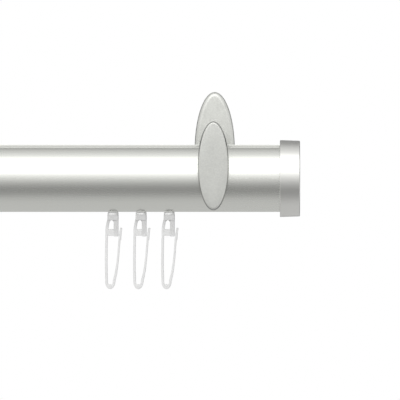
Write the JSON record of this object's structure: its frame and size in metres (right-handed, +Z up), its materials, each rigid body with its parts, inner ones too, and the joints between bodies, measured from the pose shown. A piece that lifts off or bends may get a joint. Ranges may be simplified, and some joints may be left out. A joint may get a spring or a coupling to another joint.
{
  "type": "inner-runner curtain rod",
  "caption": "Silver curtain rod on two wall brackets with oval plates; gliders run inside the tube and carry pleat hooks.",
  "frame": {"origin": "on the wall plane, in the middle of the four wall-screw holes", "axes": "+X along the rod to its right-hand end as seen from the room, +Y into the wall, +Z up"},
  "size_m": [0.6062, 0.0994, 0.088],
  "materials": {
    "rod_aluminium": "satin silver anodised",
    "cap_metal": "satin silver anodised, turned",
    "bracket_silver": "fine-grained matt silver over die-cast zinc",
    "plated_steel": "bright zinc plated",
    "glider_plastic": "natural white moulded acetal, slightly translucent",
    "plug_plastic": "grey moulded nylon"
  },
  "bodies": {
    "rod": {"rod_tube": "rod_aluminium", "left_cap_plug": "plug_plastic", "left_end_cap": "cap_metal", "left_wall_base": "plated_steel", "left_wall_rosette": "bracket_silver", "left_arm": "bracket_silver", "left_slot_nut": "plated_steel", "left_front_plate": "bracket_silver", "left_clamp_screw": "plated_steel", "left_arm_screw": "plated_steel", "left_plate_grub_screw": "plated_steel", "left_rosette_grub_screw": "plated_steel", "right_cap_plug": "plug_plastic", "right_end_cap": "cap_metal", "right_wall_base": "plated_steel", "right_wall_rosette": "bracket_silver", "right_arm": "bracket_silver", "right_slot_nut": "plated_steel", "right_front_plate": "bracket_silver", "right_clamp_screw": "plated_steel", "right_arm_screw": "plated_steel", "right_plate_grub_screw": "plated_steel", "right_rosette_grub_screw": "plated_steel"},
    "left_runner_1": {"left_runner_1": "glider_plastic"},
    "left_runner_2": {"left_runner_2": "glider_plastic"},
    "left_runner_3": {"left_runner_3": "glider_plastic"},
    "left_hook_1": {"left_hook_1": "glider_plastic"},
    "left_hook_2": {"left_hook_2": "glider_plastic"},
    "left_hook_3": {"left_hook_3": "glider_plastic"},
    "right_runner_1": {"right_runner_1": "glider_plastic"},
    "right_runner_2": {"right_runner_2": "glider_plastic"},
    "right_runner_3": {"right_runner_3": "glider_plastic"},
    "right_hook_1": {"right_hook_1": "glider_plastic"},
    "right_hook_2": {"right_hook_2": "glider_plastic"},
    "right_hook_3": {"right_hook_3": "glider_plastic"}
  },
  "joints": [
    {"name": "left_runner_1_slide", "type": "slide", "parent": "rod", "child": "left_runner_1", "axis": [-1, 0, 0], "range_m": [-0.0713, 0.0435]},
    {"name": "left_runner_2_slide", "type": "slide", "parent": "left_runner_1", "child": "left_runner_2", "axis": [-1, 0, 0], "range_m": [-0.0713, 0.00215]},
    {"name": "left_runner_3_slide", "type": "slide", "parent": "left_runner_2", "child": "left_runner_3", "axis": [-1, 0, 0], "range_m": [-0.0713, 0.00215]},
    {"name": "left_hook_1_swivel", "type": "hinge", "parent": "left_runner_1", "child": "left_hook_1", "pos_m": [-0.2452, -0.08, -0.0297], "axis": [0, 0, 1], "continuous": true},
    {"name": "left_hook_2_swivel", "type": "hinge", "parent": "left_runner_2", "child": "left_hook_2", "pos_m": [-0.23275, -0.08, -0.0297], "axis": [0, 0, 1], "continuous": true},
    {"name": "left_hook_3_swivel", "type": "hinge", "parent": "left_runner_3", "child": "left_hook_3", "pos_m": [-0.2203, -0.08, -0.0297], "axis": [0, 0, 1], "continuous": true},
    {"name": "right_runner_1_slide", "type": "slide", "parent": "rod", "child": "right_runner_1", "axis": [1, 0, 0], "range_m": [-0.0713, 0.0435]},
    {"name": "right_runner_2_slide", "type": "slide", "parent": "right_runner_1", "child": "right_runner_2", "axis": [1, 0, 0], "range_m": [-0.0713, 0.00215]},
    {"name": "right_runner_3_slide", "type": "slide", "parent": "right_runner_2", "child": "right_runner_3", "axis": [1, 0, 0], "range_m": [-0.0713, 0.00215]},
    {"name": "right_hook_1_swivel", "type": "hinge", "parent": "right_runner_1", "child": "right_hook_1", "pos_m": [0.2452, -0.08, -0.0297], "axis": [0, 0, 1], "continuous": true},
    {"name": "right_hook_2_swivel", "type": "hinge", "parent": "right_runner_2", "child": "right_hook_2", "pos_m": [0.23275, -0.08, -0.0297], "axis": [0, 0, 1], "continuous": true},
    {"name": "right_hook_3_swivel", "type": "hinge", "parent": "right_runner_3", "child": "right_hook_3", "pos_m": [0.2203, -0.08, -0.0297], "axis": [0, 0, 1], "continuous": true}
  ]
}
